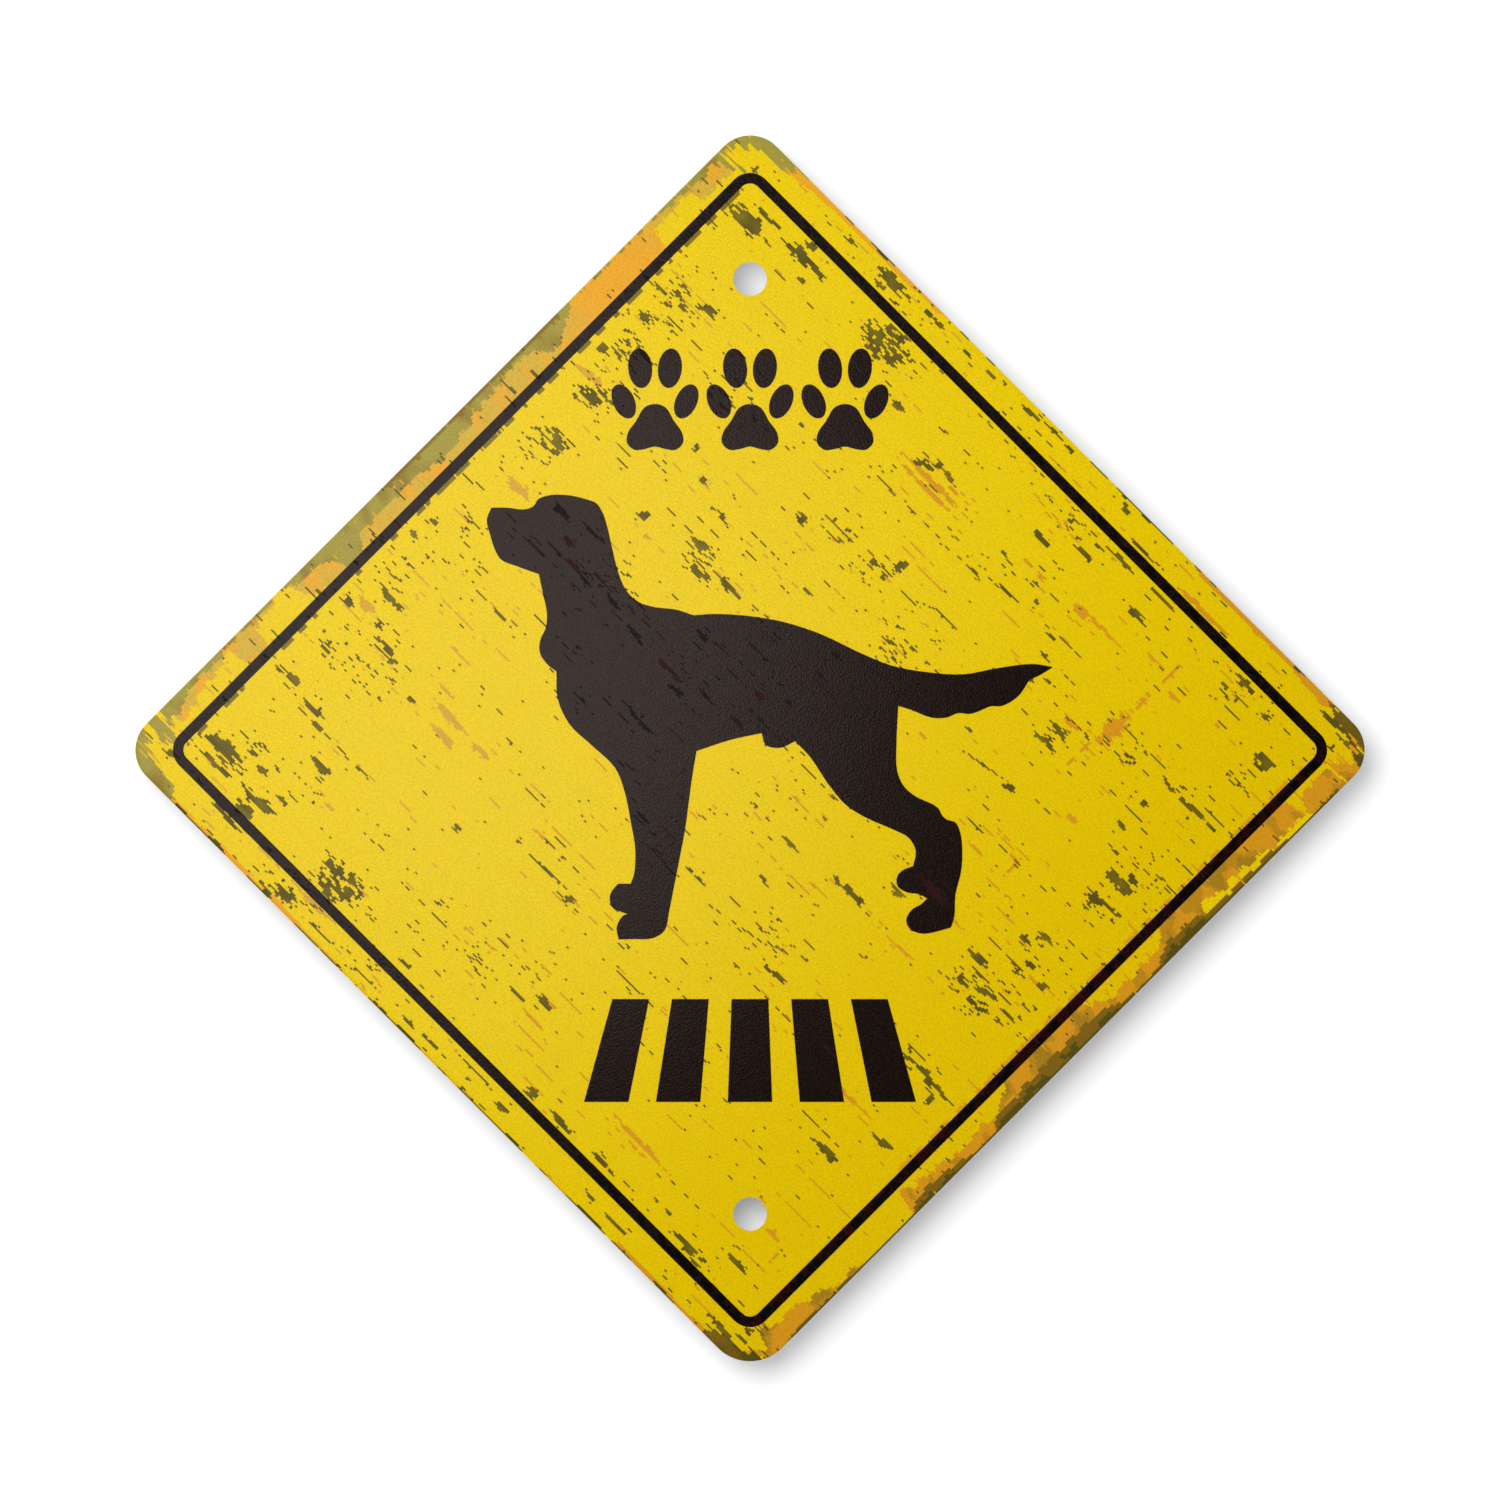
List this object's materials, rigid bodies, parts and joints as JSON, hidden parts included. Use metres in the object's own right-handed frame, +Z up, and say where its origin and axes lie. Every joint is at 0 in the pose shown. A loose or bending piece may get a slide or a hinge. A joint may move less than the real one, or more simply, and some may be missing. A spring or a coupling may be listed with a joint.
{
  "type": "crossing sign",
  "caption": "Flat diamond-shaped metal sign with two screw holes, a yellow face, a black border line, a black dog figure, paw prints and a zebra crossing.",
  "frame": {"origin": "middle of the blank's rear face, on the wall's surface", "axes": "+Z up along the line through the two screw holes, -Y out of the printed face towards the viewer, +X to the viewer's right"},
  "size_m": [0.4206, 0.0012, 0.4194],
  "materials": {
    "aluminium": "mill finish, lightly brushed",
    "yellow_film": "satin laminated vinyl with printed wear",
    "black_film": "satin laminated vinyl"
  },
  "bodies": {
    "root": {"sign_blank": "aluminium", "face_film": "yellow_film", "border_line": "black_film", "dog_figure": "black_film", "paw_1_pad": "black_film", "paw_1_outer_toe_left": "black_film", "paw_1_inner_toe_left": "black_film", "paw_1_inner_toe_right": "black_film", "paw_1_outer_toe_right": "black_film", "paw_2_pad": "black_film", "paw_2_outer_toe_left": "black_film", "paw_2_inner_toe_left": "black_film", "paw_2_inner_toe_right": "black_film", "paw_2_outer_toe_right": "black_film", "paw_3_pad": "black_film", "paw_3_outer_toe_left": "black_film", "paw_3_inner_toe_left": "black_film", "paw_3_inner_toe_right": "black_film", "paw_3_outer_toe_right": "black_film", "crossing_bar_1": "black_film", "crossing_bar_2": "black_film", "crossing_bar_3": "black_film", "crossing_bar_4": "black_film", "crossing_bar_5": "black_film"}
  },
  "joints": []
}
